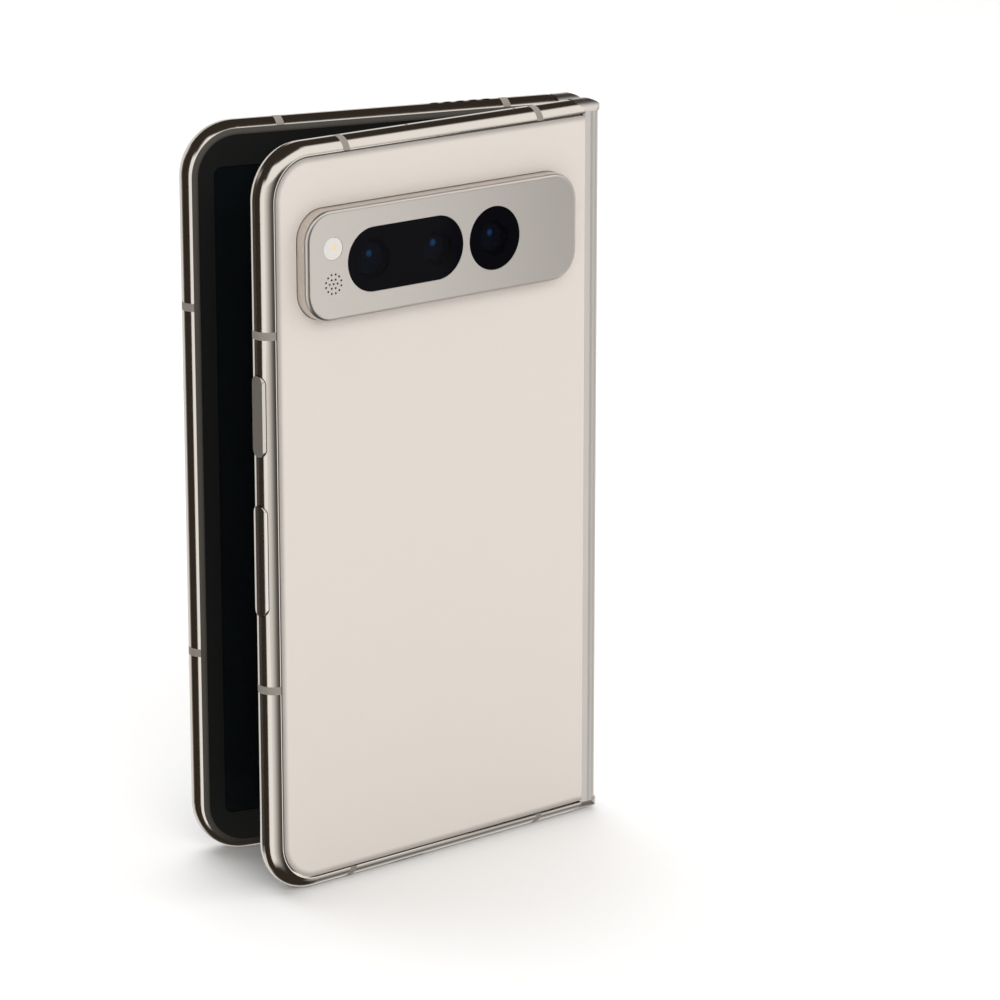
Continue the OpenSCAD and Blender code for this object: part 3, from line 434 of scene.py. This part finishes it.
# Camera modules: a bevelled base, a stepped barrel with baffle rings, and a coated front element
for name, (x, base, barrel, lens, glint_colour) in CAMERAS.items():
    barrel_profile = [(0.0, BARREL_FOOT), (barrel, BARREL_FOOT), (barrel, LENS_TOP + BARREL_CHAMFER),
                      (barrel - BARREL_CHAMFER, LENS_TOP)]
    barrel_profile += [(lens + out * MM, LENS_TOP + deep * MM) for out, deep in BAFFLES]
    barrel_profile += [(0.0, LENS_TOP + 0.62 * MM)]
    module = joined(
        block((x - base, BAR_ROOT, BAR_Z - base), (x + base, CHASSIS_Y, BAR_Z + base), 0.35 * MM, 3),
        spun(barrel_profile, x, BAR_Z))
    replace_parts(piece(name + "_barrel", module, BARREL, "rear_half"), name)
    dome = [(lens * math.sin(a), LENS_TOP + DOME_RIM + lens * DOME_RISE * (1 - math.cos(a)))
            for a in (math.radians(9 * k) for k in range(11))]
    dome += [(lens, LENS_TOP + DOME_BACK), (0.0, LENS_TOP + DOME_BACK)]
    # The lens finish carries a painted, glowing glint in the listed colour.
    piece(name + "_lens", spun(dome, x, BAR_Z), lens_finish(name + "_coating", glint_colour, x),
          "rear_half")


def to_front(bm):
    """Moves a piece drawn on the rear half to the front half, mirrored and opened."""
    bmesh.ops.transform(bm, matrix=Matrix.Translation((0, 2 * CLOSE_Y, 0)) @ Matrix.Diagonal((1, -1, 1, 1)),
                        verts=bm.verts)
    for line in (PIVOT_FRONT, PIVOT_REAR):
        bmesh.ops.rotate(bm, cent=(PIVOT_X, line, 0), verts=bm.verts,
                         matrix=Matrix.Rotation(-OPEN_ANGLE / 2, 3, "Z"))
    return bm


# The display's folding middle: one strip at the end of each rigid panel, meeting at the fold line
def fold_strip():
    edge = SPINE_X - FOLD_INSET
    return block((edge - FOLD_HALF, DISPLAY_LOW + FOLD_RAISE, FOLD_END),
                 (edge - FOLD_GAP, DISPLAY_TOP, BODY_H - FOLD_END), 0.05 * MM, 2)


rear_strip = piece("rear_fold_strip", fold_strip(), SCREEN, "rear_half")
piece("front_fold_strip", to_front(fold_strip()), SCREEN, "front_half")
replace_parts(rear_strip, "display_fold")


# Dark seal between each half's rail and its bezel, swept round the half's outline
def rim_seal():
    def arc(radius, first, last, steps=4):
        for k in range(steps + 1):
            a = math.radians(first + (last - first) * k / steps)
            yield radius * math.sin(a), RAIL_MIDDLE - radius * math.cos(a)

    rim = HALF_T / 2
    section = list(arc(RAIL_R + SEAL_OUT, 56, 72))
    section += zip((rim + SEAL_OUT, rim + SEAL_IN, rim - SEAL_DEEP), SEAL_STEPS)
    section += arc(RAIL_R - SEAL_IN, 71, 56.6)
    bm = bmesh.new()
    verts = [bm.verts.new((SPINE_X - SEAM_U, y, depth)) for y, depth in section]
    edges = [bm.edges.new(pair) for pair in zip(verts, verts[1:] + verts[:1])]
    bm.faces.new(verts)

    def run(edges, **move):
        made = bmesh.ops.extrude_edge_only(bm, edges=edges)["geom"]
        bmesh.ops.translate(bm, verts=[g for g in made if isinstance(g, bmesh.types.BMVert)], **move)
        return [g for g in made if isinstance(g, bmesh.types.BMEdge) and g.is_boundary]

    def corner(edges, z):
        made = bmesh.ops.spin(bm, geom=edges + list({v for e in edges for v in e.verts}), angle=math.pi / 2,
                              cent=(OPEN_X + CORNER_R, 0, z), axis=(0, 1, 0), steps=14)["geom_last"]
        return [g for g in made if isinstance(g, bmesh.types.BMEdge)]

    straight = SPINE_X - SEAM_U - OPEN_X - CORNER_R
    edges = run(edges, vec=(-straight, 0, 0))
    edges = corner(edges, CORNER_R)
    edges = run(edges, vec=(0, 0, BODY_H - 2 * CORNER_R))
    edges = corner(edges, BODY_H - CORNER_R)
    edges = run(edges, vec=(straight, 0, 0))
    bmesh.ops.contextual_create(bm, geom=edges)
    return bm


piece("rear_rim_seal", rim_seal(), RIM, "rear_half")
piece("front_rim_seal", to_front(rim_seal()), RIM, "front_half")


# Studio
FLOOR_R, FLOOR_DROP = 6.0, 0.02 * MM
floor_mesh = bpy.data.meshes.new("floor")
bm = bmesh.new()
bmesh.ops.create_circle(bm, cap_ends=True, segments=96, radius=FLOOR_R)
bm.to_mesh(floor_mesh)
bm.free()
floor = bpy.data.objects.new("floor", floor_mesh)
floor.location.z = -FLOOR_DROP
bpy.context.scene.collection.objects.link(floor)
pale = Finish("pale_floor")
pale.feed(Base_Color=pale.blend(pale.noise(1.5), colour(0.86, 0.86, 0.86), colour(0.88, 0.88, 0.88)),
          Roughness=pale.noise(30) * 0.1 + 0.7)
dress(floor, pale.material)
floor.visible_glossy = False

world = bpy.data.worlds.new("studio")
bpy.context.scene.world = world


def studio_walls():
    """Dark room with pale panels round it: the angle is 0 on the left, 90 in front, 180 on the right."""
    room = Shading(world, "Generated")
    degrees = 180 / math.pi
    angle = room.sum_of("ARCTAN2", 0 - room.y, 0 - room.x) * degrees
    up = room.sum_of("ARCSINE", room.z) * degrees
    # A sharp bright line on the left, over a panel that fades towards the front
    left = angle.between(16, 24, 11) * 0.28 + angle.between(14, 20, 75) * (angle > 3.5) * 0.86
    behind = angle.between(-200, -64, 10) * 0.72
    right = angle.between(141, 156, 8) * 0.42 + angle.between(138, 200, 9) * 0.34
    # The panels end below the ceiling light, and the ground stays dark
    low = (left + behind + right) * (1 - up.over(18, 32))
    high = angle.between(36, 158, 20) * up.between(26, 52, 10) * 1.05
    glow = low * up.over(-62, -40) + high
    paint = room.blend(glow * 1.1, (0.036, 0.029, 0.023, 1), (0.985, 0.975, 0.96, 1))
    shade = room.tree.nodes["Background"]
    room.tree.links.new(paint.socket, shade.inputs["Color"])
    shade.inputs["Strength"].default_value = 1.0


studio_walls()


def softbox(name, place, aim, width, height, power, tint=(1, 1, 1), mirrored=False):
    light = bpy.data.lights.new(name, "AREA")
    light.shape, light.size, light.size_y = "RECTANGLE", width, height
    light.energy, light.color = power, tint
    obj = bpy.data.objects.new(name, light)
    obj.location = place
    obj.rotation_euler = (Vector(aim) - Vector(place)).to_track_quat("-Z", "Y").to_euler()
    obj.visible_glossy = mirrored
    bpy.context.scene.collection.objects.link(obj)
    return obj


middle = (0, 0.01, 0.07)
softbox("key", (-0.55, -1.25, 0.85), middle, 1.1, 1.1, 11, (1.0, 0.985, 0.965))
softbox("fill", (1.2, -0.9, 0.5), middle, 0.8, 1.2, 4)
softbox("top", (0.0, 0.3, 1.6), middle, 1.6, 1.6, 15)
softbox("floor_light", (0.4, 1.8, 2.4), (0.2, 1.0, 0), 3.0, 3.0, 52)
softbox("bar_strip", (0.165, -0.30, 0.02), (0.0, 0.0, 0.10), 0.12, 0.36, 0.14, mirrored=True)

# The photograph's viewing angle
YAW, PITCH = math.radians(39.88), math.radians(15.53)
EYE_PLACE, EYE_LENS = (-0.48059, -0.595135, 0.28112), 154.30
eye = bpy.data.cameras.new("camera")
eye.sensor_width, eye.lens = 36.0, EYE_LENS
eye.clip_start, eye.clip_end = 0.05, 50.0
camera = bpy.data.objects.new("camera", eye)
camera.location = EYE_PLACE
look = Vector((math.sin(YAW) * math.cos(PITCH), math.cos(YAW) * math.cos(PITCH), -math.sin(PITCH)))
camera.rotation_euler = look.to_track_quat("-Z", "Y").to_euler()
bpy.context.scene.collection.objects.link(camera)
bpy.context.scene.camera = camera
bpy.context.scene.view_settings.view_transform = "Standard"
